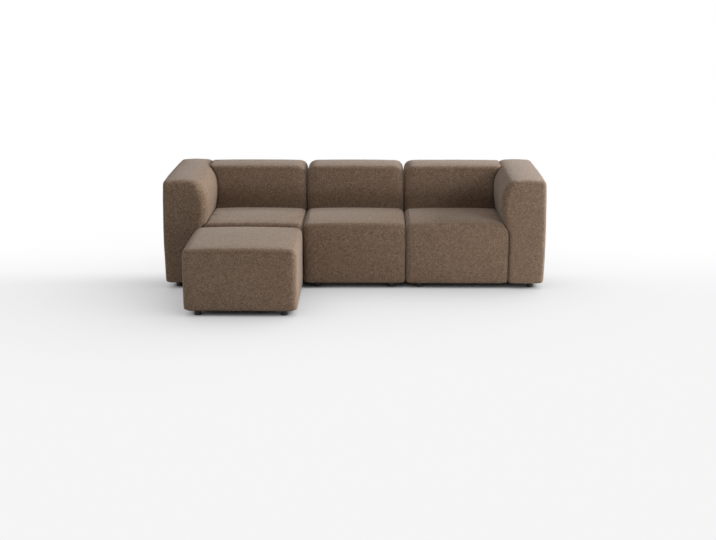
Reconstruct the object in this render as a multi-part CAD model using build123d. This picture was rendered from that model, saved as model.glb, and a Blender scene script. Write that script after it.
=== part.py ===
from build123d import *
import math
import os

# Three-seat modular sofa with a loose ottoman that turns the left seat into a chaise.
# Two corner modules with an arm stand either side of an armless middle module. Each module is a pine
# base with sinuous springs and a webbed back frame, foam blocks over them, sewn covers, and low feet.
# The corner modules drop onto link plates under the middle module. The ottoman stands free.
# X runs along the sofa, -Y is the front, Z is up, in millimetres.

# Main sizes
SEAT_BAY_W = 670
ARM_W = 245
SOFA_D = 935
SOFA_H = 725
SEAT_H = 450
SEAT_D = 580
OTTOMAN_W = 695
OTTOMAN_D = 685
OTTOMAN_H = 437
OTTOMAN_GAP = 4
OTTOMAN_SETBACK = 0

# Upholstery
COVER_T = 3
COVER_LIP = 56
MODULE_GAP = 3
COVER_GAP = 0.6
FOAM_GAP = 0.7
REST_GAP = 0.3
DUST_T = 1
DUST_OVERLAP_GAP = 4
FLAP_H = 50
SIDE_PADDING = 12
FRONT_PADDING = 26
FACE_BULGE = 7
SEAT_DIP = 14
BACK_LEAN = 30
BACK_BULGE = 20
ARM_OVERHANG = 57
ARM_UNDERCUT = 83
HEM_R = 12
CREVICE_R = 20
EDGE_R = 46
BACK_EDGE_R = 70
ARM_EDGE_R = 36
ARM_SHOULDER_W = 50
ARM_SHOULDER_H = 88
ARM_SHOULDER_R = 80
ARM_CHEEK_R = 190
UNDERCUT_R = 45
SMALLEST_R = 2
CROWN_SHARE = 0.36
FRONT_FULLEST = 0.55
SEAT_FULLEST = 0.4
BACK_FACE_FULLEST = 0.35
BACK_REAR_FULLEST = 0.45
ARM_SIDE_FULLEST = 0.48
ARM_CHEEK_FULLEST = 0.3

# Wooden frames
RAIL_T = 25
RAIL_H = 180
CROSS_RAIL_H = 80
CROSS_RAIL_SETBACK = 15
CORNER_BLOCK_LEG = 150
CORNER_BLOCK_T = 40
POST_W = 45
POST_D = 40
BACK_FRAME_DROP = 43
BACK_RAIL_H = 60
LOWER_BACK_RAIL_Z = 300
ARM_FRAME_W = 75
ARM_FRAME_DROP = 80
ARM_FRAME_INSET = 60
ARM_BATTEN = 45
ARM_BOTTOM_RAIL_H = 70
ARM_PANEL_T = 4
POST_CLEARANCE = 20

# Springs and webbing
SPRING_COUNT = 5
SPRING_SPACING = 110
SPRING_W = 46
SPRING_PITCH = 36
SPRING_BEND = 0.42
WIRE_R = 2
WIRE_GAP = 0.2
CLIP_D = 14
CLIP_H = 8
CLIP_SIDE_GAP = 1
STRAP_COUNT = 4
STRAP_W = 50
STRAP_T = 2

# Feet, screws, bolts and links
FOOT_H = 41
FOOT_TOP_R = 24
FOOT_BOTTOM_R = 21
FOOT_INSET = 92
OTTOMAN_FOOT_INSET = 82
FOOT_CHAMFER = 2
FOOT_RECESS_R = 8
FOOT_RECESS_H = 12
SCREW_R = 2.5
SCREW_HEAD_R = 5
SCREW_HEAD_H = 3
SCREW_BITE = 34
SCREW_GAP = 0.05
PASS_GAP = 0.4
BOLT_R = 4
BOLT_HEAD_R = 7.5
BOLT_HEAD_H = 5.5
BOLT_GAP = 0.3
BOLT_CLEARANCE = 25
BARREL_NUT_R = 7
BARREL_NUT_L = 24
LINK_T = 3
LINK_W = 40
LINK_MARGIN = 16
LINK_CORNER_R = 8
LINK_SCREW_SPREAD = 12
LINK_SETBACK = 170
PIN_R = 5
PIN_SHANK_R = 3
PIN_L = 21
PIN_BITE = 40
PIN_GAP = 0.3

# Levels and places that follow from the sizes above
BASE_Z = FOOT_H + DUST_T - COVER_T
FRAME_Z = BASE_Z + COVER_T
RAIL_TOP = FRAME_Z + RAIL_H
WIRE_Z = RAIL_TOP + CLIP_H / 2
SPRING_TOP = RAIL_TOP + CLIP_H
FOAM_INSET = COVER_T + FOAM_GAP
RAIL_INSET = MODULE_GAP / 2 + FOAM_INSET + SIDE_PADDING + REST_GAP
RAIL_SETBACK = FOAM_INSET + FRONT_PADDING + REST_GAP
POST_REAR = SOFA_D - RAIL_SETBACK - RAIL_T
POST_FRONT = POST_REAR - POST_D
POST_TOP = SOFA_H - BACK_FRAME_DROP
CROSS_RAIL_REAR = SEAT_D - CROSS_RAIL_SETBACK
SEAM_X = SEAT_BAY_W / 2
ARM_X = 1.5 * SEAT_BAY_W
HALF_W = ARM_X + ARM_W
ARM_FOOT_X = HALF_W - FOOT_INSET
ARM_FRAME = (ARM_FOOT_X - ARM_FRAME_W / 2, ARM_FOOT_X + ARM_FRAME_W / 2)
ARM_FRAME_TOP = SOFA_H - ARM_FRAME_DROP
BOLT_Z = FRAME_Z + ARM_BOTTOM_RAIL_H / 2
BOLT_SETBACK = RAIL_SETBACK + RAIL_T + CORNER_BLOCK_LEG + BOLT_CLEARANCE
FRONT_Y = (OTTOMAN_D + OTTOMAN_GAP - SOFA_D) / 2
OTTOMAN_X = -(SEAM_X + OTTOMAN_SETBACK + OTTOMAN_W / 2)
OTTOMAN_Y = FRONT_Y - OTTOMAN_GAP - OTTOMAN_D


# Plain solids

def block(x, y, z):
    """Box between two values on each axis."""
    centre = Pos(sum(x) / 2, sum(y) / 2, sum(z) / 2)
    return centre * Box(x[1] - x[0], y[1] - y[0], z[1] - z[0])


def upright(x, y, z, radius):
    """Cylinder along Z."""
    return Pos(x, y, sum(z) / 2) * Cylinder(radius, z[1] - z[0])


def crosswise(x, y, z, radius):
    """Cylinder along X."""
    return Pos(sum(x) / 2, y, z) * Rot(0, 90, 0) * Cylinder(radius, x[1] - x[0])


def drilled(solid, holes):
    """A solid with every hole taken out of it."""
    for hole in holes:
        solid = solid - hole
    return solid


# Crowned upholstery forms: outlines of lines and arcs, drawn in towards the ends and lofted

def moved_in(points, distances):
    """Corners of a counter-clockwise outline with side i, from corner i to the next, moved inwards."""
    sides = []
    for i, (start, distance) in enumerate(zip(points, distances)):
        along = (Vector(*points[(i + 1) % len(points)][:2]) - Vector(*start[:2])).normalized()
        inward = Vector(-along.Y, along.X)
        sides.append((Vector(*start[:2]) + inward * distance, along))
    corners = []
    for (at, along), (before_at, before) in zip(sides, [sides[-1], *sides[:-1]]):
        turn = before.X * along.Y - before.Y * along.X
        offset = at - before_at
        reach = (offset.X * along.Y - offset.Y * along.X) / turn
        corners.append((before_at + before * reach, turn > 0))
    return corners


def outline(points, distances):
    """Start, middle and end of the arc at each corner. A corner with no radius is a long crown."""
    corners = moved_in(points, distances)
    arcs = []
    for i, (corner, convex) in enumerate(corners):
        before = corners[i - 1][0] - corner
        after = corners[(i + 1) % len(corners)][0] - corner
        u, w = before.normalized(), after.normalized()
        half = math.acos(max(-1.0, min(1.0, u.dot(w)))) / 2
        radius = points[i][2]
        if radius is None:
            tangent = CROWN_SHARE * min(before.length, after.length)
        else:
            shift = (distances[i - 1] + distances[i]) / 2
            radius = max(SMALLEST_R, radius - shift if convex else radius + shift)
            tangent = radius / math.tan(half)
        radius = tangent * math.tan(half)
        centre = corner + (u + w).normalized() * (radius / math.sin(half))
        middle = centre + (corner - centre).normalized() * radius
        arcs.append((corner + u * tangent, middle, corner + w * tangent))
    return arcs


def section(arcs, place):
    """Closed wire through the arcs, with place turning an outline point into a point in space."""
    edges = []
    for i, (start, middle, end) in enumerate(arcs):
        edges.append(Edge.make_three_point_arc(place(start), place(middle), place(end)))
        edges.append(Edge.make_line(place(end), place(arcs[(i + 1) % len(arcs)][0])))
    return Wire(edges)


def stations(low, high, low_end, high_end, crown):
    """Places along a form, each with how far every side is drawn in there."""
    middle, half = (low + high) / 2, (high - low) / 2
    places = {low, high, *(middle + half * share for share in (-0.5, 0, 0.5))}
    for end, at, inward in ((low_end, low, 1), (high_end, high, -1)):
        for length in {length for depth, length in end.values()}:
            places |= {at + inward * length * (1 - math.cos(math.radians(angle))) for angle in (30, 60, 90)}
    found = []
    for at in sorted(places):
        drawn = {side: crown[side] * ((at - middle) / half) ** 2 for side in crown}
        for end, reach in ((low_end, at - low), (high_end, high - at)):
            for side, (depth, length) in end.items():
                if reach < length:
                    drawn[side] += depth * (1 - math.sqrt(1 - (1 - reach / length) ** 2))
        found.append((at, drawn))
    return found


def lofted(profile, sides, places, inset, axis):
    """Solid through the profile at every station, along X with (y, z) outlines or Y with (x, z) ones."""
    wires = []
    for at, drawn in places:
        arcs = outline(profile, [drawn[side] + inset for side in sides])
        if axis == "X":
            wires.append(section(arcs, lambda p, x=at: (x, p.X, p.Y)))
        else:
            wires.append(section(arcs, lambda p, y=at: (p.X, y, p.Y)))
    return Solid.make_loft(wires, ruled=True)


# How far each side is drawn in at an end, and over what length, and how far it crowns over the whole form
SEAM_END = {"top": (26, 30), "front": (20, 30)}
BACK_SEAM_END = {"top": (50, 50), "front": (24, 50), "rear": (24, 50)}
ARM_SIDE_END = {"top": (10, 12), "front": (12, 12)}
BURIED_END = {}
ARM_CHEEK_END = {"bulge": (46, 85), "under": (34, 60)}
ARM_FRONT_END = {**ARM_CHEEK_END, "top": (32, 34), "outer": (26, 34), "inner": (14, 34)}
ARM_REAR_END = {**ARM_CHEEK_END, "top": (34, 34), "outer": (30, 34)}
OTTOMAN_END = {"top": (34, 38), "front": (30, 38), "rear": (30, 38)}
BLOCK_CROWN = {"top": 7, "front": 5, "rear": 0, "bottom": 0}
BACK_CROWN = {"top": 4, "front": 6, "rear": 4, "bottom": 0}
ARM_CROWN = {"top": 4, "outer": 5, "bulge": 2, "under": 0, "inner": 0, "bottom": 0}
OTTOMAN_CROWN = {"top": 8, "front": 5, "rear": 4, "bottom": 0}


def seat_form(x, arm_end, inset):
    """Seat block over one bay: bulged front, soft front edge, top that dips towards the back."""
    profile = [
        (FACE_BULGE, BASE_Z, HEM_R),
        (SEAT_D, BASE_Z, SMALLEST_R + FOAM_INSET),
        (SEAT_D, SEAT_H - SEAT_DIP, CREVICE_R),
        (SEAT_FULLEST * SEAT_D, SEAT_H, None),
        (FACE_BULGE, SEAT_H - FACE_BULGE, EDGE_R),
        (0, FRONT_FULLEST * SEAT_H, None),
    ]
    sides = ["bottom", "rear", "top", "top", "front", "front"]
    places = stations(x[0] + inset, x[1] - inset, SEAM_END, arm_end, BLOCK_CROWN)
    return lofted(profile, sides, places, inset, "X")


def back_form(x, arm_end, inset):
    """Back block down to the base: face that leans back over a bulge, round top, upright rear."""
    face = SEAT_D + COVER_GAP
    profile = [
        (face, BASE_Z, SMALLEST_R + FOAM_INSET),
        (SOFA_D - FACE_BULGE, BASE_Z, HEM_R),
        (SOFA_D, BACK_REAR_FULLEST * SOFA_H, None),
        (SOFA_D - FACE_BULGE, SOFA_H - FACE_BULGE, BACK_EDGE_R),
        ((face + SOFA_D) / 2, SOFA_H, None),
        (face + BACK_LEAN, SOFA_H - FACE_BULGE, EDGE_R),
        (face - BACK_BULGE, SEAT_H + BACK_FACE_FULLEST * (SOFA_H - SEAT_H), None),
        (face, SEAT_H - FACE_BULGE, None),
    ]
    sides = ["bottom", "rear", "rear", "top", "top", "front", "front", "rear"]
    places = stations(x[0] + inset, x[1] - inset, BACK_SEAM_END, arm_end, BACK_CROWN)
    return lofted(profile, sides, places, inset, "X")


def arm_profile():
    """Arm section: upright outside, and a padded inside that swells over the edge of the seat."""
    inner = ARM_X + COVER_GAP / 2
    bulge = ARM_X - ARM_OVERHANG
    seat_edge = SEAT_H - SEAT_DIP
    shoulder = SOFA_H - FACE_BULGE
    profile = [
        (inner, BASE_Z, HEM_R),
        (HALF_W - FACE_BULGE, BASE_Z, HEM_R),
        (HALF_W, ARM_SIDE_FULLEST * SOFA_H, None),
        (HALF_W - FACE_BULGE, SOFA_H - FACE_BULGE, ARM_EDGE_R),
        ((ARM_X + HALF_W) / 2, SOFA_H, None),
        (bulge + ARM_SHOULDER_W, shoulder, ARM_SHOULDER_R),
        (bulge + 1, shoulder - ARM_SHOULDER_H, ARM_CHEEK_R),
        (bulge, SEAT_H + ARM_CHEEK_FULLEST * (SOFA_H - SEAT_H), None),
        (bulge + 2 * FACE_BULGE, seat_edge, UNDERCUT_R),
        (inner, seat_edge - ARM_UNDERCUT, UNDERCUT_R),
    ]
    sides = ["bottom", "outer", "outer", "top", "top", *["bulge"] * 3, "under", "inner"]
    return profile, sides


def arm_form(inset):
    """Right arm, its section rounded off at the front and rear."""
    profile, sides = arm_profile()
    places = stations(inset, SOFA_D - inset, ARM_FRONT_END, ARM_REAR_END, ARM_CROWN)
    return lofted(profile, sides, places, inset, "Y")


def arm_space(gap):
    """The arm's section grown by a gap and drawn in with its cheek, which shapes its neighbours."""
    profile, sides = arm_profile()
    flat = dict.fromkeys(ARM_CROWN, 0)
    places = [
        (at, {**flat, **{side: drawn[side] for side in ARM_CHEEK_END}})
        for at, drawn in stations(0, SOFA_D, ARM_FRONT_END, ARM_REAR_END, flat)
    ]
    ahead, behind = (-SOFA_D, places[0][1]), (2 * SOFA_D, places[-1][1])
    return lofted(profile, sides, [ahead, *places, behind], -gap, "Y")


def ottoman_form(inset):
    """Ottoman block about its own front left corner at the origin."""
    profile = [
        (FACE_BULGE, BASE_Z, HEM_R),
        (OTTOMAN_D - FACE_BULGE, BASE_Z, HEM_R),
        (OTTOMAN_D, FRONT_FULLEST * OTTOMAN_H, None),
        (OTTOMAN_D - FACE_BULGE, OTTOMAN_H - FACE_BULGE, EDGE_R),
        (OTTOMAN_D / 2, OTTOMAN_H, None),
        (FACE_BULGE, OTTOMAN_H - FACE_BULGE, EDGE_R),
        (0, FRONT_FULLEST * OTTOMAN_H, None),
    ]
    sides = ["bottom", "rear", "rear", "top", "top", "front", "front"]
    places = stations(inset, OTTOMAN_W - inset, OTTOMAN_END, OTTOMAN_END, OTTOMAN_CROWN)
    return lofted(profile, sides, places, inset, "X")


# Wooden base, springs, feet

def base_frame(x, depth, cross_rail):
    """Rails butted between two side rails, with a glued triangular block in each corner."""
    left, right = x[0] + RAIL_INSET, x[1] - RAIL_INSET
    front, rear = RAIL_SETBACK, depth - RAIL_SETBACK
    height = (FRAME_Z, RAIL_TOP)
    inside = (left + RAIL_T, right - RAIL_T)
    pieces = [
        block((left, left + RAIL_T), (front, rear), height),
        block((right - RAIL_T, right), (front, rear), height),
        block(inside, (front, front + RAIL_T), height),
        block(inside, (rear - RAIL_T, rear), height),
    ]
    if cross_rail:
        behind = (CROSS_RAIL_REAR - RAIL_T, CROSS_RAIL_REAR)
        pieces.append(block(inside, behind, (RAIL_TOP - CROSS_RAIL_H, RAIL_TOP)))
    for corner_x, way_x in ((inside[0], 1), (inside[1], -1)):
        for corner_y, way_y in ((front + RAIL_T, 1), (rear - RAIL_T, -1)):
            triangle = Polygon(
                (corner_x, corner_y),
                (corner_x + way_x * CORNER_BLOCK_LEG, corner_y),
                (corner_x, corner_y + way_y * CORNER_BLOCK_LEG),
                align=None,
            )
            pieces.append(Pos(0, 0, FRAME_Z) * extrude(triangle, CORNER_BLOCK_T, dir=(0, 0, 1)))
    return pieces


def spring_rows(x):
    """Middle of each sinuous spring across a bay."""
    middle = (x[0] + x[1]) / 2
    return [middle + SPRING_SPACING * (i - (SPRING_COUNT - 1) / 2) for i in range(SPRING_COUNT)]


def spring_bend(y):
    """Number of half waves between two rails, and the radius of their bends."""
    waves = round((y[1] - y[0]) / SPRING_PITCH)
    return waves, SPRING_BEND * (y[1] - y[0]) / waves


def seat_springs(x, y):
    """Sinuous wire springs from the front rail to the rail behind."""
    waves, bend = spring_bend(y)
    wires = []
    for middle in spring_rows(x):
        points = []
        for i in range(waves + 1):
            reach = SPRING_W / 2 * (-1 if i % 2 == 0 else 1)
            level = y[0] + (y[1] - y[0]) * i / waves
            points += [(middle + reach, level, WIRE_Z), (middle - reach, level, WIRE_Z)]
        path = FilletPolyline(*points, radius=bend)
        start = Plane(origin=path @ 0, z_dir=path % 0)
        wires.append(sweep(start * Circle(WIRE_R), path=path))
    return wires


def spring_clips(x, y):
    """Clip on the rail at both ends of every spring, bored for the wire's end bar."""
    width = SPRING_W - 2 * (spring_bend(y)[1] + CLIP_SIDE_GAP)
    clips = []
    for middle in spring_rows(x):
        for level in y:
            across = (middle - width / 2, middle + width / 2)
            clip = block(across, (level - CLIP_D / 2, level + CLIP_D / 2), (RAIL_TOP, SPRING_TOP))
            clips.append(clip - crosswise(across, level, WIRE_Z, WIRE_R + WIRE_GAP))
    return clips


def foot(x, y):
    """Turned plastic foot, chamfered round its base and bored for a screw from below."""
    body = Pos(x, y, FOOT_H / 2) * Cone(FOOT_BOTTOM_R, FOOT_TOP_R, FOOT_H)
    body = chamfer(body.edges().sort_by(Axis.Z)[0], FOOT_CHAMFER)
    recess = upright(x, y, (0, FOOT_RECESS_H), FOOT_RECESS_R)
    return body - recess - upright(x, y, (0, FOOT_H), SCREW_R + PASS_GAP)


def screw(x, y, seat, bite_from):
    """Pan-head wood screw driven upwards, its head under the seat level."""
    head = upright(x, y, (seat - SCREW_HEAD_H, seat), SCREW_HEAD_R)
    return head + upright(x, y, (seat, bite_from + SCREW_BITE), SCREW_R)


def pilot(x, y):
    """Screw's pilot hole in the wood above the cover."""
    return upright(x, y, (0, FRAME_Z + SCREW_BITE), SCREW_R + SCREW_GAP)


def passing(x, y):
    """Clearance hole for a screw through cloth."""
    return upright(x, y, (0, FRAME_Z), SCREW_R + PASS_GAP)


def dust_sheet(x, y, feet):
    """Thin lining under a frame, let in between the cover's turned-under edges."""
    edge = COVER_LIP + DUST_OVERLAP_GAP
    sheet = block((x[0] + edge, x[1] - edge), (y[0] + edge, y[1] - edge), (FOOT_H, FRAME_Z))
    return drilled(sheet, [passing(*at) for at in feet])


# Covers and foam over a base

def hollow_cover(form, bottom, opening):
    """Sewn cover: the form's skin, open underneath, and open where the next block's frame goes on."""
    skin = form(0) - form(COVER_T)
    skin = skin - block(*bottom, (BASE_Z - COVER_T, FRAME_Z))
    return skin if opening is None else skin - opening


def seat_cover(form, x):
    """Cover of a seat block, open behind below the flap that tucks under the back."""
    inner = (x[0] + MODULE_GAP / 2 + COVER_T, x[1] - MODULE_GAP / 2 - COVER_T)
    bottom = (x[0] + COVER_LIP, x[1] - COVER_LIP), (COVER_LIP, SEAT_D + COVER_T)
    behind = block(inner, (SEAT_D - EDGE_R, SEAT_D + COVER_T), (FRAME_Z, SEAT_H - FLAP_H))
    return hollow_cover(form, bottom, behind)


def back_cover(form, x):
    """Cover of a back block, open in front where the base runs through."""
    inner = (x[0] + MODULE_GAP / 2 + COVER_T, x[1] - MODULE_GAP / 2 - COVER_T)
    bottom = (x[0] + COVER_LIP, x[1] - COVER_LIP), (SEAT_D - COVER_T, SOFA_D - COVER_LIP)
    ahead = block(inner, (SEAT_D - COVER_T, SEAT_D + EDGE_R), (FRAME_Z, SEAT_H - FLAP_H))
    return hollow_cover(form, bottom, ahead)


def seat_foam(form, x):
    """Foam block with a skirt over the rails, resting on the springs."""
    across = (x[0] + RAIL_INSET - REST_GAP, x[1] - RAIL_INSET + REST_GAP)
    pocket = block(across, (RAIL_SETBACK - REST_GAP, 2 * SEAT_D), (0, SPRING_TOP + REST_GAP))
    return form(FOAM_INSET) - pocket


def back_foam(form, x, posts_x):
    """Foam block round the back frame, resting on the side rails."""
    base = (x[0] + RAIL_INSET - REST_GAP, x[1] - RAIL_INSET + REST_GAP)
    posts = (posts_x[0] - REST_GAP, posts_x[1] + REST_GAP)
    lower = block(base, (0, SOFA_D - RAIL_SETBACK + REST_GAP), (0, RAIL_TOP + REST_GAP))
    frame = (POST_FRONT - STRAP_T - REST_GAP, POST_REAR + REST_GAP)
    return form(FOAM_INSET) - lower - block(posts, frame, (FRAME_Z, POST_TOP + REST_GAP))


def back_frame(posts_x):
    """Two posts on the rear corner blocks, joined by a top rail and a lower rail."""
    left, right = posts_x
    depth, height = (POST_FRONT, POST_REAR), (FRAME_Z + CORNER_BLOCK_T, POST_TOP)
    rail_depth = (POST_FRONT, POST_FRONT + RAIL_T)
    between = (left + POST_W, right - POST_W)
    return [
        block((left, left + POST_W), depth, height),
        block((right - POST_W, right), depth, height),
        block(between, rail_depth, (POST_TOP - BACK_RAIL_H, POST_TOP)),
        block(between, rail_depth, (LOWER_BACK_RAIL_Z, LOWER_BACK_RAIL_Z + BACK_RAIL_H)),
    ]


def back_webbing(posts_x):
    """Upright elastic straps stapled to the front of the back rails."""
    start = posts_x[0] + POST_W
    spacing = (posts_x[1] - POST_W - start) / STRAP_COUNT
    straps = []
    for i in range(STRAP_COUNT):
        middle = start + spacing * (i + 0.5)
        across = (middle - STRAP_W / 2, middle + STRAP_W / 2)
        straps.append(block(across, (POST_FRONT - STRAP_T, POST_FRONT), (LOWER_BACK_RAIL_Z, POST_TOP)))
    return straps


# Links between modules

LINK_PLACES = (LINK_SETBACK, SOFA_D - LINK_SETBACK)
RAIL_MIDDLE = RAIL_INSET + RAIL_T / 2


def link_screw_places(side):
    """Screws of the link plates on one side of the middle module."""
    x = side * (SEAM_X - RAIL_MIDDLE)
    return [(x, y + way * LINK_SCREW_SPREAD) for y in LINK_PLACES for way in (-1, 1)]


def link_plate(side, y):
    """Steel plate under the middle module, with a hole for the neighbour's pin past the seam."""
    near, far = SEAM_X - RAIL_MIDDLE, SEAM_X + RAIL_MIDDLE
    across, depth = (near - LINK_MARGIN, far + LINK_MARGIN), (y - LINK_W / 2, y + LINK_W / 2)
    plate = block(across, depth, (BASE_Z - LINK_T, BASE_Z))
    plate = fillet(plate.edges().filter_by(Axis.Z), LINK_CORNER_R)
    plate = plate - upright(far, y, (0, FRAME_Z), PIN_R + PIN_GAP)
    return plate if side > 0 else mirror(plate, about=Plane.YZ)


def link_pin(x, y):
    """Turned steel pin screwed up into a side rail, its plain end in a link plate."""
    plain = upright(x, y, (BASE_Z - PIN_L, BASE_Z), PIN_R)
    plain = chamfer(plain.edges().sort_by(Axis.Z)[0], PIN_R / 3)
    return plain + upright(x, y, (BASE_Z, FRAME_Z + PIN_BITE), PIN_SHANK_R)


# Modules: each gives its pieces by name

def seat_module(x, posts_x, seat, back, feet, under_holes, rail_holes):
    """Pieces that every seat module has."""
    front_bar = RAIL_SETBACK + RAIL_T / 2
    rear_bar = CROSS_RAIL_REAR - RAIL_T / 2
    pilots = [pilot(*at) for at in feet]
    frame = [drilled(piece, pilots + rail_holes) for piece in base_frame(x, SOFA_D, True)]
    return {
        "base_frame": frame,
        "back_frame": back_frame(posts_x),
        "back_webbing": back_webbing(posts_x),
        "seat_springs": seat_springs(x, (front_bar, rear_bar)),
        "spring_clips": spring_clips(x, (front_bar, rear_bar)),
        "seat_foam": [drilled(seat_foam(seat, x), under_holes)],
        "back_foam": [drilled(back_foam(back, x, posts_x), under_holes)],
        "seat_cover": [drilled(seat_cover(seat, x), under_holes)],
        "back_cover": [drilled(back_cover(back, x), under_holes)],
    }


def middle_module():
    """Armless module, which carries the link plates for both neighbours."""
    x = (-SEAM_X, SEAM_X)
    edges = (x[0] + MODULE_GAP / 2, x[1] - MODULE_GAP / 2)
    foot_x, foot_y = SEAM_X - FOOT_INSET, (FOOT_INSET, SOFA_D - FOOT_INSET)
    feet = [(side * foot_x, y) for side in (-1, 1) for y in foot_y]
    links = [at for side in (-1, 1) for at in link_screw_places(side)]
    pieces = seat_module(
        x,
        (x[0] + RAIL_INSET + RAIL_T, x[1] - RAIL_INSET - RAIL_T),
        lambda inset: seat_form(edges, SEAM_END, inset),
        lambda inset: back_form(edges, BACK_SEAM_END, inset),
        feet,
        [passing(*at) for at in links],
        [pilot(*at) for at in links],
    )
    pieces["dust_cover"] = [dust_sheet(x, (0, SOFA_D), feet)]
    pieces["feet"] = [foot(*at) for at in feet]
    pieces["foot_screws"] = [screw(*at, FOOT_RECESS_H, FRAME_Z) for at in feet]
    pieces["link_plates"] = [
        drilled(link_plate(side, y), [passing(*at) for at in links])
        for side in (-1, 1)
        for y in LINK_PLACES
    ]
    pieces["link_screws"] = [screw(*at, BASE_Z - LINK_T, FRAME_Z) for at in links]
    return pieces


def arm_frame(feet, bolt_holes):
    """Four battens of the arm, the lower one drilled for the feet, the bolts and their barrel nuts."""
    y = (ARM_FRAME_INSET, SOFA_D - ARM_FRAME_INSET)
    low = (FRAME_Z, FRAME_Z + ARM_BOTTOM_RAIL_H)
    high = (ARM_FRAME_TOP - ARM_BATTEN, ARM_FRAME_TOP)
    upright_z = (low[1], high[0])
    bottom = drilled(block(ARM_FRAME, y, low), [pilot(*at) for at in feet] + bolt_holes)
    return [
        bottom,
        block(ARM_FRAME, y, high),
        block(ARM_FRAME, (y[0], y[0] + ARM_BATTEN), upright_z),
        block(ARM_FRAME, (y[1] - ARM_BATTEN, y[1]), upright_z),
    ]


def right_module():
    """Corner module with its arm on the right, bolted through the side rail."""
    x = (SEAM_X, ARM_X)
    seat_edges = (x[0] + MODULE_GAP / 2, ARM_X - COVER_GAP)
    back_edges = (x[0] + MODULE_GAP / 2, ARM_X + ARM_SHOULDER_R)
    rail_outer = ARM_X - RAIL_INSET
    bolt_start, bolt_end = rail_outer - RAIL_T, ARM_FOOT_X + BARREL_NUT_R
    bolt_places = (BOLT_SETBACK, SOFA_D - BOLT_SETBACK)
    bolt_holes = [crosswise((bolt_start, bolt_end), y, BOLT_Z, BOLT_R + BOLT_GAP) for y in bolt_places]
    nut_span = (BOLT_Z - BARREL_NUT_L / 2, BOLT_Z + BARREL_NUT_L / 2)
    nut_holes = [upright(ARM_FOOT_X, y, nut_span, BARREL_NUT_R + BOLT_GAP) for y in bolt_places]
    pin_x = SEAM_X + RAIL_MIDDLE
    pins = [(pin_x, y) for y in LINK_PLACES]
    pin_pilots = [upright(*at, (0, FRAME_Z + PIN_BITE), PIN_SHANK_R + SCREW_GAP) for at in pins]
    pin_passes = [upright(*at, (0, FRAME_Z), PIN_SHANK_R + PASS_GAP) for at in pins]
    foot_y = (FOOT_INSET, SOFA_D - FOOT_INSET)
    base_feet = [(SEAM_X + FOOT_INSET, y) for y in foot_y]
    arm_feet = [(ARM_FOOT_X, y) for y in foot_y]

    def seat(inset):
        return seat_form(seat_edges, ARM_SIDE_END, inset) - arm_space(COVER_GAP + inset)

    def back(inset):
        return back_form(back_edges, BURIED_END, inset) - arm_space(COVER_GAP + inset)

    posts_x = (x[0] + RAIL_INSET + RAIL_T, ARM_X - ARM_OVERHANG - POST_CLEARANCE)
    pieces = seat_module(x, posts_x, seat, back, base_feet, pin_passes + bolt_holes, pin_pilots + bolt_holes)
    arm_bottom = (ARM_X + COVER_LIP, HALF_W - COVER_LIP), (COVER_LIP, SOFA_D - COVER_LIP)
    arm_y, arm_z = (ARM_FRAME_INSET, SOFA_D - ARM_FRAME_INSET), (FRAME_Z, ARM_FRAME_TOP)
    panels = [
        block((ARM_FRAME[0] - ARM_PANEL_T, ARM_FRAME[0]), arm_y, arm_z),
        block((ARM_FRAME[1], ARM_FRAME[1] + ARM_PANEL_T), arm_y, arm_z),
    ]
    arm_pocket = block(
        (ARM_FRAME[0] - ARM_PANEL_T - REST_GAP, ARM_FRAME[1] + ARM_PANEL_T + REST_GAP),
        (arm_y[0] - REST_GAP, arm_y[1] + REST_GAP),
        (0, ARM_FRAME_TOP + REST_GAP),
    )
    bolts = []
    for y in bolt_places:
        shank = crosswise((bolt_start, bolt_end), y, BOLT_Z, BOLT_R)
        bolts.append(shank + crosswise((bolt_start - BOLT_HEAD_H, bolt_start), y, BOLT_Z, BOLT_HEAD_R))
        nut = upright(ARM_FOOT_X, y, nut_span, BARREL_NUT_R)
        bolts.append(nut - crosswise((bolt_start, HALF_W), y, BOLT_Z, BOLT_R + SCREW_GAP))
    pieces["arm_frame"] = arm_frame(arm_feet, bolt_holes + nut_holes)
    pieces["arm_panels"] = [drilled(panel, bolt_holes) for panel in panels]
    pieces["arm_foam"] = [drilled(arm_form(FOAM_INSET) - arm_pocket, bolt_holes)]
    pieces["arm_cover"] = [drilled(hollow_cover(arm_form, arm_bottom, None), bolt_holes)]
    pieces["arm_bolts"] = bolts
    pieces["link_pins"] = [link_pin(*at) for at in pins]
    pieces["dust_cover"] = [
        dust_sheet(x, (0, SOFA_D), base_feet),
        dust_sheet((ARM_X, HALF_W), (0, SOFA_D), arm_feet),
    ]
    pieces["feet"] = [foot(*at) for at in base_feet + arm_feet]
    pieces["foot_screws"] = [screw(*at, FOOT_RECESS_H, FRAME_Z) for at in base_feet + arm_feet]
    return pieces


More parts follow.
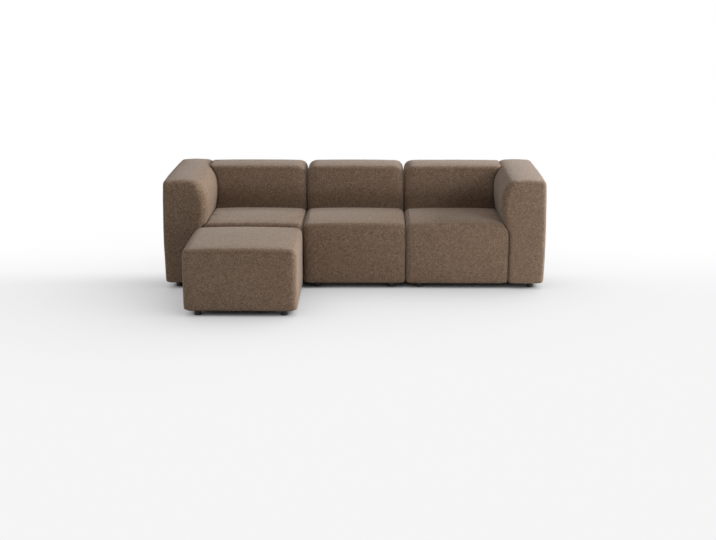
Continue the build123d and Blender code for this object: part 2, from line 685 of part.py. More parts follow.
def ottoman():
    """Free-standing block on its own sprung base, about its front left corner."""
    x, y = (0, OTTOMAN_W), (0, OTTOMAN_D)
    inset = OTTOMAN_FOOT_INSET
    feet = [(at_x, at_y) for at_x in (inset, x[1] - inset) for at_y in (inset, y[1] - inset)]
    bars = (RAIL_SETBACK + RAIL_T / 2, OTTOMAN_D - RAIL_SETBACK - RAIL_T / 2)
    edge = (RAIL_INSET - REST_GAP, RAIL_SETBACK - REST_GAP)
    pocket = block((edge[0], x[1] - edge[0]), (edge[1], y[1] - edge[1]), (0, SPRING_TOP + REST_GAP))
    bottom = (COVER_LIP, x[1] - COVER_LIP), (COVER_LIP, y[1] - COVER_LIP)
    pilots = [pilot(*at) for at in feet]
    return {
        "base_frame": [drilled(piece, pilots) for piece in base_frame(x, OTTOMAN_D, False)],
        "seat_springs": seat_springs(x, bars),
        "spring_clips": spring_clips(x, bars),
        "foam": [ottoman_form(FOAM_INSET) - pocket],
        "cover": [hollow_cover(ottoman_form, bottom, None)],
        "dust_cover": [dust_sheet(x, y, feet)],
        "feet": [foot(*at) for at in feet],
        "foot_screws": [screw(*at, FOOT_RECESS_H, FRAME_Z) for at in feet],
    }


def write(module, pieces, place):
    """One STEP file per named piece or group of like pieces."""
    for name, solids in pieces.items():
        placed = [place * solid for shape in solids for solid in shape.solids()]
        whole = placed[0] if len(placed) == 1 else Compound(children=placed)
        export_step(whole, f"parts/{module}_{name}.step")


os.makedirs("parts", exist_ok=True)
sofa_place = Pos(0, FRONT_Y, 0)
right = right_module()
left = {name: [mirror(solid, about=Plane.YZ) for solid in solids] for name, solids in right.items()}
write("middle", middle_module(), sofa_place)
write("right", right, sofa_place)
write("left", left, sofa_place)
write("ottoman", ottoman(), Pos(OTTOMAN_X - OTTOMAN_W / 2, OTTOMAN_Y, 0))
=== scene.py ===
import itertools
import math

import bpy
import numpy as np
from mathutils import Matrix, Vector


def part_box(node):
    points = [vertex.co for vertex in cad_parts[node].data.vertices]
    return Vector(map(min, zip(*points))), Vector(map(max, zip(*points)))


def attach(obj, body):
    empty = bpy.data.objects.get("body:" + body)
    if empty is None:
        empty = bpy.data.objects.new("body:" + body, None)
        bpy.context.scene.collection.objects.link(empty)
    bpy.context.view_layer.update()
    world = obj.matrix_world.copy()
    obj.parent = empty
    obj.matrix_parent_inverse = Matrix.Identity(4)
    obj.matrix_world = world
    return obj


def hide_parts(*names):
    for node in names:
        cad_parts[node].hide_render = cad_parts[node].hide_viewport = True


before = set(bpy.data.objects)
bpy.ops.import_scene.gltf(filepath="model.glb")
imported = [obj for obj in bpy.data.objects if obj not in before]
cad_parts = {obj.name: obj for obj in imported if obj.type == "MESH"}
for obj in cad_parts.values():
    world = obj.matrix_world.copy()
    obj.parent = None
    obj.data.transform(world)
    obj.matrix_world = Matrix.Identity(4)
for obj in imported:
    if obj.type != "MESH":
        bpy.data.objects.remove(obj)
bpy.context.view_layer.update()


# Pine frames. Planed softwood rails, posts and battens, butted, glued and stapled, with a triangular
# block in each corner of a base. The upholstery hides them.

def start_finish(name, roughness):
    """A new material, its node tree and its shader."""
    finish = bpy.data.materials.new(name)
    finish.use_nodes = True
    shader = finish.node_tree.nodes["Principled BSDF"]
    shader.inputs["Roughness"].default_value = roughness
    return finish, finish.node_tree, shader


def add(tree, kind, inputs, **settings):
    """A node with its settings, and inputs that are values or other nodes' outputs."""
    node = tree.nodes.new(kind)
    for name, value in settings.items():
        setattr(node, name, value)
    for name, value in inputs.items():
        if isinstance(value, bpy.types.NodeSocket):
            tree.links.new(value, node.inputs[name])
        else:
            node.inputs[name].default_value = value
    return node


def stretched(tree, scale=(1, 1, 1)):
    """Object coordinates, stretched along the axes."""
    coordinates = tree.nodes.new("ShaderNodeTexCoord").outputs["Object"]
    return add(tree, "ShaderNodeMapping", {"Vector": coordinates, "Scale": scale}).outputs["Vector"]


def colour(tree, shader, factor, first, last, *between):
    """Gives the shader a colour ramp through stops of a place and a colour."""
    node = add(tree, "ShaderNodeValToRGB", {"Fac": factor})
    ramp = node.color_ramp
    for element, (place, tone) in zip(list(ramp.elements), (first, last)):
        element.position, element.color = place, (*tone, 1)
    for place, tone in between:
        ramp.elements.new(place).color = (*tone, 1)
    tree.links.new(node.outputs["Color"], shader.inputs["Base Color"])


def roughen(tree, shader, height, strength, distance):
    """Gives the shader a bump from a height."""
    bump = add(tree, "ShaderNodeBump", {"Height": height, "Strength": strength, "Distance": distance})
    tree.links.new(bump.outputs["Normal"], shader.inputs["Normal"])


def dress(finish, *kinds):
    """A finish on every CAD node of these kinds, in whichever module."""
    for name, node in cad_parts.items():
        if name.split("_", 1)[1] in kinds:
            node.data.materials.clear()
            node.data.materials.append(finish)


PALE_PINE = (0.80, 0.62, 0.40)
MIDDLE_PINE = (0.70, 0.51, 0.31)
DARK_PINE = (0.50, 0.32, 0.17)
GRAIN_STRETCH = (7, 9, 42)
pine, tree, shader = start_finish("planed_pine", roughness=0.6)
grain = add(
    tree,
    "ShaderNodeTexNoise",
    {
        "Vector": stretched(tree, GRAIN_STRETCH),
        "Scale": 3.0,
        "Detail": 7.0,
        "Roughness": 0.6,
        "Distortion": 1.4,
    },
).outputs["Fac"]
colour(tree, shader, grain, (0.30, PALE_PINE), (0.72, DARK_PINE), (0.5, MIDDLE_PINE))
roughen(tree, shader, grain, strength=0.25, distance=0.001)
dress(pine, "base_frame", "back_frame", "arm_frame")


# Arm panels. Thin brown hardboard, smooth and slightly flecked, stapled on both sides of an arm's
# battens to carry its foam.

DARK_BOARD = (0.20, 0.12, 0.065)
PALE_BOARD = (0.36, 0.23, 0.13)
hardboard, tree, shader = start_finish("brown_hardboard", roughness=0.55)
chips = add(
    tree, "ShaderNodeTexNoise", {"Vector": stretched(tree), "Scale": 420.0, "Detail": 4.0}
).outputs["Fac"]
colour(tree, shader, chips, (0.35, DARK_BOARD), (0.65, PALE_BOARD))
roughen(tree, shader, chips, strength=0.2, distance=0.0004)
dress(hardboard, "arm_panels")


# Back webbing. Black woven elastic straps with a ribbed weave, stapled upright to the back rails to
# carry the foam.

BLACK_RUBBER = (0.010, 0.010, 0.011)
GREY_RIB = (0.045, 0.045, 0.048)
webbing, tree, shader = start_finish("elastic_webbing", roughness=0.85)
ribs = add(
    tree,
    "ShaderNodeTexWave",
    {"Vector": stretched(tree), "Scale": 160.0, "Distortion": 0.6, "Detail": 1.0},
    bands_direction="Z",
).outputs["Fac"]
colour(tree, shader, ribs, (0.1, BLACK_RUBBER), (0.9, GREY_RIB))
roughen(tree, shader, ribs, strength=0.5, distance=0.0008)
dress(webbing, "back_webbing")


# Seat springs and their clips. Sinuous drawn steel wire across each base, its end bars held in
# moulded nylon clips stapled to the rails.

DARK_STEEL = (0.20, 0.20, 0.21)
BRIGHT_STEEL = (0.42, 0.42, 0.43)
wire, tree, shader = start_finish("drawn_spring_wire", roughness=0.38)
shader.inputs["Metallic"].default_value = 1.0
scale_marks = add(
    tree, "ShaderNodeTexNoise", {"Vector": stretched(tree), "Scale": 150.0, "Detail": 4.0}
).outputs["Fac"]
colour(tree, shader, scale_marks, (0.35, DARK_STEEL), (0.7, BRIGHT_STEEL))
roughen(tree, shader, scale_marks, strength=0.1, distance=0.0003)
dress(wire, "seat_springs")

CREAM_NYLON = (0.72, 0.71, 0.68)
WHITE_NYLON = (0.84, 0.83, 0.80)
nylon, tree, shader = start_finish("white_nylon", roughness=0.5)
moulding = add(
    tree, "ShaderNodeTexNoise", {"Vector": stretched(tree), "Scale": 240.0, "Detail": 2.0}
).outputs["Fac"]
colour(tree, shader, moulding, (0.3, CREAM_NYLON), (0.7, WHITE_NYLON))
roughen(tree, shader, moulding, strength=0.12, distance=0.0003)
dress(nylon, "spring_clips")


# Screws, bolts and link pins. Zinc-plated steel: screws through the feet and the link plates, bolts
# with barrel nuts through each arm, and the pins that stand in the link plates.

BRIGHT_ZINC = (0.72, 0.73, 0.75)
DULL_ZINC = (0.56, 0.57, 0.59)
zinc, tree, shader = start_finish("zinc_plate", roughness=0.32)
shader.inputs["Metallic"].default_value = 1.0
spangle = add(
    tree, "ShaderNodeTexVoronoi", {"Vector": stretched(tree), "Scale": 300.0}
).outputs["Distance"]
colour(tree, shader, spangle, (0.0, BRIGHT_ZINC), (0.8, DULL_ZINC))
roughen(tree, shader, spangle, strength=0.08, distance=0.0003)
dress(zinc, "foot_screws", "link_screws", "arm_bolts", "link_pins")


# Link plates. Pressed steel plates with a black powder coat, screwed under the middle module so that
# the pins of both neighbours drop into their far holes.

BLACK_COAT = (0.012, 0.012, 0.013)
COAT_PEBBLE = (0.030, 0.030, 0.032)
coat, tree, shader = start_finish("black_powder_coat", roughness=0.5)
pebble = add(
    tree, "ShaderNodeTexNoise", {"Vector": stretched(tree), "Scale": 900.0, "Detail": 2.0}
).outputs["Fac"]
colour(tree, shader, pebble, (0.35, BLACK_COAT), (0.65, COAT_PEBBLE))
roughen(tree, shader, pebble, strength=0.3, distance=0.0003)
dress(coat, "link_plates")


# Feet. Low round moulded feet in black plastic with a fine grain, tapered to the floor and screwed
# under each module near its corners.

BLACK_PLASTIC = (0.010, 0.010, 0.010)
SCUFFED_PLASTIC = (0.028, 0.027, 0.026)
SCUFF_STRETCH = (1, 1, 6)
foot_plastic, tree, shader = start_finish("black_foot_plastic", roughness=0.55)
pores = add(
    tree, "ShaderNodeTexNoise", {"Vector": stretched(tree), "Scale": 700.0, "Detail": 3.0}
).outputs["Fac"]
scuffs = add(
    tree, "ShaderNodeTexNoise", {"Vector": stretched(tree, SCUFF_STRETCH), "Scale": 40.0, "Detail": 5.0}
).outputs["Fac"]
colour(tree, shader, scuffs, (0.4, BLACK_PLASTIC), (0.75, SCUFFED_PLASTIC))
roughen(tree, shader, pores, strength=0.25, distance=0.0004)
dress(foot_plastic, "feet")


# Dust covers. Black non-woven lining, thin and faintly dimpled, stapled under each frame to close it
# from below.

BLACK_FELT = (0.010, 0.010, 0.011)
GREY_FIBRE = (0.036, 0.036, 0.038)
lining, tree, shader = start_finish("black_lining", roughness=0.9)
fibres = add(
    tree,
    "ShaderNodeTexNoise",
    {"Vector": stretched(tree), "Scale": 260.0, "Detail": 6.0, "Distortion": 2.0},
).outputs["Fac"]
dimples = add(
    tree, "ShaderNodeTexVoronoi", {"Vector": stretched(tree), "Scale": 330.0}
).outputs["Distance"]
colour(tree, shader, fibres, (0.3, BLACK_FELT), (0.7, GREY_FIBRE))
roughen(tree, shader, dimples, strength=0.4, distance=0.0005)
dress(lining, "dust_cover")


# Sofa fabric. A heathered brown chenille: short thick yarns of several browns with paler flecks, a dry
# surface and a soft bloom where it is seen edge on. Every cover is cut from it.

def blended(tree, share, first, second):
    """Output between two values or outputs, at a share of the second."""
    inputs = {"Factor": share, "A": first, "B": second}
    return add(tree, "ShaderNodeMix", inputs, data_type="FLOAT").outputs[0]


YARN_SIZE = 0.0030
FLECK_SIZE = 0.0062
YARN_BEND = 0.004
FLECK_SHARE = 0.42
CLOUD_SHARE = 0.3
NAP_CLOUD_SHARE = 0.35
DARK_YARN = (0.097, 0.061, 0.038)
BROWN_YARN = (0.223, 0.151, 0.103)
TAN_YARN = (0.281, 0.199, 0.140)
PALE_FLECK = (0.393, 0.304, 0.230)
BLOOM_TINT = (1.0, 0.95, 0.90, 1)
fabric, tree, shader = start_finish("heathered_chenille", roughness=0.95)
shader.inputs["Specular IOR Level"].default_value = 0.12
shader.inputs["Sheen Weight"].default_value = 0.26
shader.inputs["Sheen Roughness"].default_value = 0.45
shader.inputs["Sheen Tint"].default_value = BLOOM_TINT
wobble = add(
    tree, "ShaderNodeTexNoise", {"Vector": stretched(tree), "Scale": 120.0, "Detail": 2.0}
).outputs["Color"]
bent = add(
    tree, "ShaderNodeMix", {"Factor": YARN_BEND, "A": stretched(tree), "B": wobble}, data_type="VECTOR"
).outputs[1]
yarns = add(tree, "ShaderNodeTexVoronoi", {"Vector": bent, "Scale": 1 / YARN_SIZE})
flecks = add(tree, "ShaderNodeTexVoronoi", {"Vector": bent, "Scale": 1 / FLECK_SIZE})
clouding = add(
    tree, "ShaderNodeTexNoise", {"Vector": stretched(tree), "Scale": 55.0, "Detail": 4.0}
).outputs["Fac"]
yarn_tone = add(tree, "ShaderNodeSeparateColor", {"Color": yarns.outputs["Color"]}).outputs["Red"]
fleck_tone = add(tree, "ShaderNodeSeparateColor", {"Color": flecks.outputs["Color"]}).outputs["Green"]
mottle = blended(tree, FLECK_SHARE, yarn_tone, fleck_tone)
mottle = blended(tree, CLOUD_SHARE, mottle, clouding)
colour(tree, shader, mottle, (0.14, DARK_YARN), (0.88, PALE_FLECK), (0.50, BROWN_YARN), (0.74, TAN_YARN))
nap = blended(tree, NAP_CLOUD_SHARE, yarns.outputs["Distance"], clouding)
roughen(tree, shader, nap, strength=0.45, distance=0.0012)


# Seats. Each is a foam block over a sprung base, in a sewn cover that is filled tight and stapled under
# the frame. The cover swells a little on its free faces and has a seam along each side that meets
# another seat.

UP, AHEAD, BEHIND, RIGHT = (0, 0, 1), (0, -1, 0), (0, 1, 0), (1, 0, 0)
BODIES = {"middle": "middle_module", "right": "right_corner_module", "left": "left_corner_module"}

VOXEL = 0.011
MERGE_REACH = 0.00005


def foam_block(name, foam, hollows):
    """Closed, evenly meshed block in the shape of a foam piece, with its frame's hollows filled."""
    bpy.ops.object.select_all(action="DESELECT")
    block = bpy.data.objects.new(name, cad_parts[foam].data.copy())
    bpy.context.scene.collection.objects.link(block)
    fillers = []
    for low, high in hollows:
        low, high = Vector(low), Vector(high)
        bpy.ops.mesh.primitive_cube_add(size=1, location=(low + high) / 2, scale=high - low)
        fillers.append(bpy.context.object)
    for piece in [*fillers, block]:
        piece.select_set(True)
    bpy.context.view_layer.objects.active = block
    bpy.ops.object.join()
    bpy.ops.object.mode_set(mode="EDIT")
    bpy.ops.mesh.select_all(action="SELECT")
    bpy.ops.mesh.remove_doubles(threshold=MERGE_REACH)
    bpy.ops.object.mode_set(mode="OBJECT")
    block.data.remesh_voxel_size = VOXEL
    bpy.ops.object.voxel_remesh()
    block.data.materials.clear()
    block.data.materials.append(fabric)
    return block


def points_of(block):
    """The places of a block's vertices, one row each."""
    places = np.empty(3 * len(block.data.vertices))
    block.data.vertices.foreach_get("co", places)
    return places.reshape(-1, 3)


HEM_H = 0.012
FOAM_GRIP = 0.2
PRESSURE = 5.0
FRAMES = 20
CLOTH_QUALITY = 4
CLOTH_MASS = 0.3
STRETCH_STIFFNESS = 15
SHEAR_STIFFNESS = 8
BENDING_STIFFNESS = 2


def swell_of(block, before, normals, height):
    """How far a light pressure lifts the cover, with its hem held and the foam gripping the rest."""
    grip = block.vertex_groups.new(name="grip")
    grip.add(np.flatnonzero(height >= HEM_H).tolist(), FOAM_GRIP, "REPLACE")
    grip.add(np.flatnonzero(height < HEM_H).tolist(), 1.0, "REPLACE")
    cloth = block.modifiers.new("Cloth", "CLOTH")
    cloth.settings.quality = CLOTH_QUALITY
    cloth.settings.mass = CLOTH_MASS
    cloth.settings.tension_stiffness = STRETCH_STIFFNESS
    cloth.settings.compression_stiffness = STRETCH_STIFFNESS
    cloth.settings.shear_stiffness = SHEAR_STIFFNESS
    cloth.settings.bending_stiffness = BENDING_STIFFNESS
    cloth.settings.use_pressure = True
    cloth.settings.uniform_pressure_force = PRESSURE
    cloth.settings.effector_weights.gravity = 0
    cloth.settings.vertex_group_mass = grip.name
    cloth.settings.pin_stiffness = 1
    cloth.collision_settings.use_collision = False
    cloth.point_cache.frame_end = FRAMES
    for step in range(1, FRAMES + 1):
        bpy.context.scene.frame_set(step)
    bpy.context.view_layer.objects.active = block
    bpy.ops.object.modifier_apply(modifier=cloth.name)
    block.vertex_groups.clear()
    return np.maximum(((points_of(block) - before) * normals).sum(axis=1), 0)


TUCK_H = 0.012
CLOTH_T = 0.003
CLOSE_FIT = 0.0039
OPEN_SWELL = 0.0066
OPEN_FROM = 0.3
OPEN_SPAN = 0.4


def fill_tight(block, fullness, free):
    """Draws the cover over the foam.

    It lies close where a neighbour stands, swells more on the free faces and stands full along the
    edges between them.
    """
    before = points_of(block)
    normals = np.array([vertex.normal for vertex in block.data.vertices])
    height = before[:, 2] - before[:, 2].min()
    swell = swell_of(block, before, normals, height)
    facing = np.clip([normals @ np.array(way) for way in free], 0, 1)
    openness = np.clip((facing.max(axis=0) - OPEN_FROM) / OPEN_SPAN, 0, 1)
    rise = np.minimum(CLOTH_T + swell, CLOSE_FIT + (OPEN_SWELL - CLOSE_FIT) * openness)
    for one, other in itertools.combinations(facing, 2):
        rise += fullness * (2 * one * other) ** 2
    rise *= np.clip(height / TUCK_H, 0, 1)
    block.data.vertices.foreach_set("co", (before + rise[:, None] * normals).ravel())
    block.data.update()
    open_faces = block.vertex_groups.new(name="open_faces")
    for i in np.flatnonzero(openness > 0):
        open_faces.add([int(i)], float(openness[i]), "REPLACE")


def mirrored(block, name):
    """Copy of a block for the other end of the sofa."""
    mesh = block.data.copy()
    mesh.transform(Matrix.Scale(-1, 4, Vector((1, 0, 0))))
    mesh.flip_normals()
    copy = bpy.data.objects.new(name, mesh)
    bpy.context.scene.collection.objects.link(copy)
    return copy


DENT_SIZE = 0.22
DENT_DEPTH = 0.0035
SMOOTHING = 0.5
SMOOTHING_ROUNDS = 2


def sew(block, depth, seams):
    """Smooths the cover, then lets in a seam wherever one of the planes cuts it."""
    unevenness = bpy.data.textures.new(block.name + "_unevenness", "CLOUDS")
    unevenness.noise_scale = DENT_SIZE
    dents = block.modifiers.new("Dents", "DISPLACE")
    dents.texture = unevenness
    dents.texture_coords = "LOCAL"
    dents.vertex_group = "open_faces"
    dents.strength = DENT_DEPTH
    smooth = block.modifiers.new("Smooth", "SMOOTH")
    smooth.factor, smooth.iterations = SMOOTHING, SMOOTHING_ROUNDS
    rounding = block.modifiers.new("Rounding", "SUBSURF")
    rounding.levels = rounding.render_levels = 1
    bpy.ops.object.select_all(action="DESELECT")
    block.select_set(True)
    bpy.context.view_layer.objects.active = block
    for modifier in (dents.name, smooth.name, rounding.name):
        bpy.ops.object.modifier_apply(modifier=modifier)
    for point, normal in seams:
        bpy.ops.object.mode_set(mode="EDIT")
        bpy.ops.mesh.select_mode(type="VERT")
        bpy.ops.mesh.select_all(action="SELECT")
        bpy.ops.mesh.bisect(plane_co=point, plane_no=normal)
        bpy.ops.transform.shrink_fatten(value=-depth)
        bpy.ops.object.mode_set(mode="OBJECT")
    block.vertex_groups.clear()
    bpy.ops.object.shade_smooth()


def put_on(cover, body, *stands_for):
    """Lets a finished cover ride on its body in place of the nodes that it stands for."""
    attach(cover, body)
    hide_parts(*stands_for)


FRAME_ROOM = 0.005
RAIL_ROOM = 0.002
UNDERSIDE = 0.0003
REAR_SKIN = 0.0004


def seat_hollows(module):
    """Where the base and its springs stand inside a seat's foam."""
    low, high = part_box(f"{module}_base_frame")
    foam_low, foam_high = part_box(f"{module}_seat_foam")
    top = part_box(f"{module}_spring_clips")[1].z + FRAME_ROOM
    front_corner = (low.x - FRAME_ROOM, low.y - RAIL_ROOM, foam_low.z + UNDERSIDE)
    return [(front_corner, (high.x + FRAME_ROOM, foam_high.y - REAR_SKIN, top))]


EDGE_FULLNESS = 0.007
SIDE_SEAM = 0.020
SIDE_SEAM_DEPTH = 0.0015

seats = {}
for module in ("middle", "right"):
    seats[module] = foam_block(f"{module}_seat", f"{module}_seat_foam", seat_hollows(module))
    fill_tight(seats[module], EDGE_FULLNESS, [UP, AHEAD])
seats["left"] = mirrored(seats["right"], "left_seat")
for module, seat in seats.items():
    low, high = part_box(f"{module}_seat_cover")
    side_seams = []
    if module != "left":
        side_seams.append(((low.x + SIDE_SEAM, 0, 0), RIGHT))
    if module != "right":
        side_seams.append(((high.x - SIDE_SEAM, 0, 0), RIGHT))
    sew(seat, SIDE_SEAM_DEPTH, side_seams)
    put_on(seat, BODIES[module], f"{module}_seat_cover", f"{module}_seat_foam")


# Backs. Each is a foam block round the back frame in a cover of its own, whose top panel is sewn in
# along the front and rear edges.

POST_ROOM = 0.007
POST_SINK = 0.02
SEAT_CLEARANCE = 0.0090
FRONT_SEAM = 0.064
REAR_SEAM = 0.055
EDGE_SEAM_DEPTH = 0.0045


def back_hollows(module):
    """Where the base and the back frame stand inside a back's foam."""
    low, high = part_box(f"{module}_base_frame")
    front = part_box(f"{module}_seat_foam")[1].y + SEAT_CLEARANCE
    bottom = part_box(f"{module}_back_foam")[0].z + UNDERSIDE
    post_low, post_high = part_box(f"{module}_back_frame")
    post_low = Vector((post_low.x, post_low.y, high.z - POST_SINK))
    spread = Vector((FRAME_ROOM, POST_ROOM, FRAME_ROOM))
    return [
        (
            (low.x - FRAME_ROOM, front, bottom),
            (high.x + FRAME_ROOM, high.y + RAIL_ROOM, high.z + FRAME_ROOM),
        ),
        (post_low - spread, post_high + spread),
    ]


backs = {}
for module in ("middle", "right"):
    backs[module] = foam_block(f"{module}_back", f"{module}_back_foam", back_hollows(module))
    fill_tight(backs[module], EDGE_FULLNESS, [UP, AHEAD, BEHIND])
backs["left"] = mirrored(backs["right"], "left_back")
for module, back in backs.items():
    low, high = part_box(f"{module}_back_cover")
    edge_seams = [((0, low.y + FRONT_SEAM, 0), BEHIND), ((0, high.y - REAR_SEAM, 0), BEHIND)]
    sew(back, EDGE_SEAM_DEPTH, edge_seams)
    put_on(back, BODIES[module], f"{module}_back_cover", f"{module}_back_foam")


# Arms. Each is foam over the panelled battens in a cover that bulges over the seat, with a panel sewn in
# at its front and rear end.

ARM_FULLNESS = 0.003
ARM_PANEL_SEAM = 0.018
PANEL_SEAM_DEPTH = 0.003


def arm_hollows(module):
    """Where the arm frame and its panels stand inside an arm's foam."""
    low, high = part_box(f"{module}_arm_panels")
    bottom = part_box(f"{module}_arm_foam")[0].z + UNDERSIDE
    spread = Vector((FRAME_ROOM, FRAME_ROOM, FRAME_ROOM))
    return [((low.x - FRAME_ROOM, low.y - FRAME_ROOM, bottom), high + spread)]


arms = {"right": foam_block("right_arm", "right_arm_foam", arm_hollows("right"))}
fill_tight(arms["right"], ARM_FULLNESS, [UP, AHEAD, BEHIND, RIGHT])
arms["left"] = mirrored(arms["right"], "left_arm")
for module, arm in arms.items():
    low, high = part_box(f"{module}_arm_cover")
    panel_seams = [((0, low.y + ARM_PANEL_SEAM, 0), BEHIND), ((0, high.y - ARM_PANEL_SEAM, 0), BEHIND)]
    sew(arm, PANEL_SEAM_DEPTH, panel_seams)
    put_on(arm, BODIES[module], f"{module}_arm_cover", f"{module}_arm_foam")


# Ottoman. One foam block over a sprung base of its own, loose in front of the left seat, in a cover whose
# top panel is sewn in just below the top.

TOP_SEAM = 0.034


def ottoman_hollows():
    """Where the base and its springs stand inside the ottoman's foam."""
    low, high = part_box("ottoman_base_frame")
    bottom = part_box("ottoman_foam")[0].z + UNDERSIDE
    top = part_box("ottoman_spring_clips")[1].z + FRAME_ROOM
    front_corner = (low.x - FRAME_ROOM, low.y - RAIL_ROOM, bottom)
    return [(front_corner, (high.x + FRAME_ROOM, high.y + RAIL_ROOM, top))]


ottoman_block = foam_block("ottoman_block", "ottoman_foam", ottoman_hollows())
fill_tight(ottoman_block, EDGE_FULLNESS, [UP, AHEAD])
low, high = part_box("ottoman_cover")
sew(ottoman_block, PANEL_SEAM_DEPTH, [((0, 0, high.z - TOP_SEAM), UP)])
put_on(ottoman_block, "ottoman", "ottoman_cover", "ottoman_foam")


# Turned-under edges. The bottom of each cover is folded under the frame and stapled there in a flat
# margin, which ends at the dust cover.

HEM_INSET = 0.018
HEM_W = 0.038
HEM_T = 0.0024
HEM_CORNER = 0.036
HEM_CORNER_STEPS = 6
HEM_LEVEL = 0.0419
FOLD_R = 0.0009
FOLD_STEPS = 2
ARM_HEM_GAP = 0.001


def hem(name, body, low, high):
    """Flat fabric margin inside an outline, given by two of its corners."""
    bpy.ops.object.select_all(action="DESELECT")
    bpy.ops.mesh.primitive_plane_add(size=1)
    piece = bpy.context.object
    piece.name = piece.data.name = name
    size = Vector((high[0] - low[0] - 2 * HEM_INSET, high[1] - low[1] - 2 * HEM_INSET, 1))
    bpy.ops.object.mode_set(mode="EDIT")
    bpy.ops.mesh.select_all(action="SELECT")
    bpy.ops.transform.resize(value=size)
    bpy.ops.transform.translate(value=((low[0] + high[0]) / 2, (low[1] + high[1]) / 2, HEM_LEVEL))
    bpy.ops.mesh.bevel(offset=HEM_CORNER, segments=HEM_CORNER_STEPS, affect="VERTICES")
    bpy.ops.mesh.select_all(action="SELECT")
    bpy.ops.mesh.inset(thickness=HEM_W)
    bpy.ops.mesh.delete(type="FACE")
    bpy.ops.object.mode_set(mode="OBJECT")
    thickness = piece.modifiers.new("Thickness", "SOLIDIFY")
    thickness.thickness = HEM_T
    thickness.offset = -1
    fold = piece.modifiers.new("Fold", "BEVEL")
    fold.width, fold.segments = FOLD_R, FOLD_STEPS
    bpy.ops.object.modifier_apply(modifier=thickness.name)
    bpy.ops.object.modifier_apply(modifier=fold.name)
    piece.data.materials.append(fabric)
    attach(piece, body)


for module, body in BODIES.items():
    seat_low, seat_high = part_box(f"{module}_seat_cover")
    hem(f"{module}_hem", body, seat_low, (seat_high.x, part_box(f"{module}_back_cover")[1].y))
    if module in arms:
        low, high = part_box(f"{module}_arm_cover")
        low_x = seat_high.x + ARM_HEM_GAP if module == "right" else low.x
        high_x = high.x if module == "right" else seat_low.x - ARM_HEM_GAP
        hem(f"{module}_arm_hem", body, (low_x, low.y), (high_x, high.y))
hem("ottoman_hem", "ottoman", *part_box("ottoman_cover"))


# Studio floor. A pale sweep that fades to white behind. What is seen of it glows, with a painted soft
# shadow round the sofa, longer on the left, and a painted dark shadow close under the base.

def reckoned(tree, operation, first, second):
    """Output of a maths node on two values or outputs."""
    return add(tree, "ShaderNodeMath", {0: first, 1: second}, operation=operation).outputs[0]


def looked_at(tree):
    """One for what the camera sees, straight on or through a reflection or a glass."""
    ray = tree.nodes.new("ShaderNodeLightPath").outputs
    seen = reckoned(tree, "MAXIMUM", ray["Is Camera Ray"], ray["Is Glossy Ray"])
    return reckoned(tree, "MAXIMUM", seen, ray["Is Transmission Ray"])


WHITE = (1, 1, 1, 1)
FLOOR_GREY = (0.74, 0.74, 0.74, 1)
FLOOR_SIZE = 240.0
NEAR_WHITE = 0.915
FADE_START = -0.4
FADE_END = 1.2
SHADOW_REACH = 1.6
SHADOW_SLANT = (0.4, 0.0, 0.92)
SHADOW_FRONT = -0.05
SHADOW_REAR = 0.4
FRONT_SHADOW = 0.78
REAR_SHADOW = 0.15
CONTACT_REACH = 0.3
CONTACT_DARKEST = 0.04
CONTACT_EDGE = 0.26
SHADOW_SAMPLES = 24
bpy.ops.object.select_all(action="DESELECT")
bpy.ops.mesh.primitive_plane_add(size=FLOOR_SIZE)
floor = bpy.context.object
floor.name = "studio_floor"
sweep = bpy.data.materials.new("pale_floor")
sweep.use_nodes = True
tree = sweep.node_tree
tree.nodes.clear()
depth = add(tree, "ShaderNodeSeparateXYZ", {"Vector": stretched(tree)}).outputs["Y"]
whiteness = add(
    tree,
    "ShaderNodeMapRange",
    {"Value": depth, "From Min": FADE_START, "From Max": FADE_END, "To Min": NEAR_WHITE, "To Max": 1.0},
    interpolation_type="SMOOTHSTEP",
).outputs["Result"]
weight = add(
    tree,
    "ShaderNodeMapRange",
    {
        "Value": depth,
        "From Min": SHADOW_FRONT,
        "From Max": SHADOW_REAR,
        "To Min": FRONT_SHADOW,
        "To Max": REAR_SHADOW,
    },
    interpolation_type="SMOOTHSTEP",
).outputs["Result"]
# Painted soft shadow: the glow is dimmed where a floor point is enclosed, reckoned leaning right so that
# it runs longer on the left.
slant = add(tree, "ShaderNodeCombineXYZ", dict(zip("XYZ", SHADOW_SLANT))).outputs["Vector"]
painted_soft_shadow = add(
    tree,
    "ShaderNodeAmbientOcclusion",
    {"Distance": SHADOW_REACH, "Normal": slant},
    samples=SHADOW_SAMPLES,
).outputs["AO"]
shadow = blended(tree, weight, 1.0, painted_soft_shadow)
# Painted dark shadow close under the base, from how enclosed each floor point is within a short reach.
painted_contact_ao = add(
    tree, "ShaderNodeAmbientOcclusion", {"Distance": CONTACT_REACH}, samples=SHADOW_SAMPLES
).outputs["AO"]
painted_contact_shadow = add(
    tree, "ShaderNodeMapRange", {"Value": painted_contact_ao, "From Min": CONTACT_DARKEST, "From Max": CONTACT_EDGE}
).outputs["Result"]
# The glow's strength carries both painted shadows.
level = reckoned(tree, "MULTIPLY", whiteness, shadow)
level = reckoned(tree, "MULTIPLY", level, painted_contact_shadow)
shown = add(tree, "ShaderNodeEmission", {"Color": WHITE, "Strength": level}).outputs["Emission"]
matt = add(tree, "ShaderNodeBsdfDiffuse", {"Color": FLOOR_GREY}).outputs["BSDF"]
both = add(tree, "ShaderNodeMixShader", {"Fac": looked_at(tree), 1: matt, 2: shown}).outputs["Shader"]
add(tree, "ShaderNodeOutputMaterial", {"Surface": both})
floor.data.materials.append(sweep)


# Studio light. A white sky that is brightest overhead and is seen as plain white, one large soft lamp far
# off on the right and two weak ones in front.

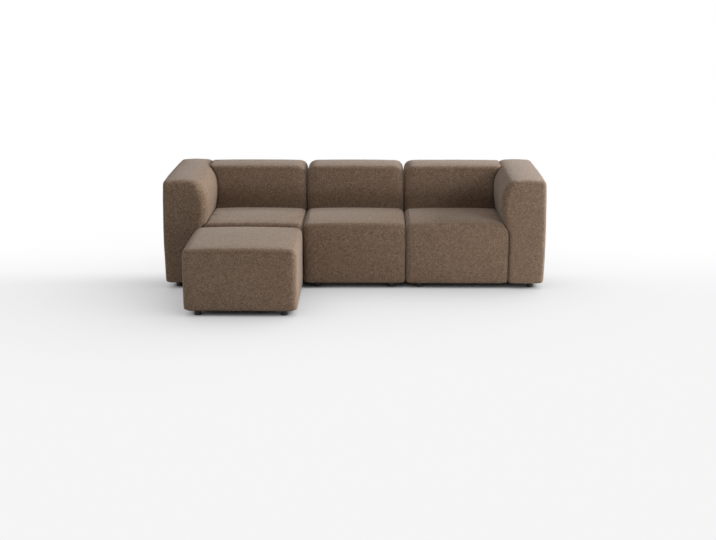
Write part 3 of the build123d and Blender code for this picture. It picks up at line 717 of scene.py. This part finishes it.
ZENITH_LEVEL = 1.50
ZENITH_FOCUS = 3.5
world = bpy.data.worlds.new("studio")
bpy.context.scene.world = world
world.use_nodes = True
tree = world.node_tree
tree.nodes.clear()
direction = tree.nodes.new("ShaderNodeTexCoord").outputs["Generated"]
height = add(tree, "ShaderNodeSeparateXYZ", {"Vector": direction}).outputs["Z"]
height = reckoned(tree, "MAXIMUM", height, 0.0)
overhead = reckoned(tree, "POWER", height, ZENITH_FOCUS)
glow = reckoned(tree, "MULTIPLY", overhead, ZENITH_LEVEL)
sky = add(tree, "ShaderNodeBackground", {"Color": WHITE, "Strength": glow}).outputs["Background"]
backdrop = add(tree, "ShaderNodeBackground", {"Color": WHITE, "Strength": 1.0}).outputs["Background"]
both = add(tree, "ShaderNodeMixShader", {"Fac": looked_at(tree), 1: sky, 2: backdrop}).outputs["Shader"]
add(tree, "ShaderNodeOutputWorld", {"Surface": both})

SOFA_MIDDLE = Vector((0.0, 0.1, 0.4))


def soft_lamp(name, place, width, power):
    """Square area lamp turned towards the sofa."""
    lamp = bpy.data.lights.new(name, "AREA")
    lamp.shape, lamp.size, lamp.energy = "SQUARE", width, power
    holder = bpy.data.objects.new(name, lamp)
    bpy.context.scene.collection.objects.link(holder)
    holder.location = place
    holder.visible_camera = False
    holder.rotation_euler = (SOFA_MIDDLE - Vector(place)).to_track_quat("-Z", "Y").to_euler()


soft_lamp("key_lamp", place=(9.0, 1.5, 3.1), width=4.4, power=1230.0)
soft_lamp("right_fill_lamp", place=(2.6, -2.2, 1.3), width=1.2, power=25.0)
soft_lamp("left_fill_lamp", place=(-3.0, -3.0, 1.5), width=1.2, power=9.0)


# Camera. A long lens in front of the sofa, a little above head height and tipped down to it. Its place,
# tilt and length were fitted to the photograph.

PHOTO_W = 716
FOCAL_PX = 1312.7
PITCH = 0.2430
YAW = 0.0106
CAMERA_PLACE = (0.1120, -8.4376, 2.1930)
FAR_LIMIT = 500.0
lens = bpy.data.cameras.new("photo_camera")
lens.sensor_fit = "HORIZONTAL"
lens.sensor_width = 36.0
lens.lens = FOCAL_PX / PHOTO_W * lens.sensor_width
lens.clip_end = FAR_LIMIT
camera = bpy.data.objects.new("photo_camera", lens)
bpy.context.scene.collection.objects.link(camera)
camera.location = CAMERA_PLACE
camera.rotation_euler = (math.pi / 2 - PITCH, 0, YAW)
bpy.context.scene.camera = camera
bpy.context.scene.view_settings.view_transform = "Standard"
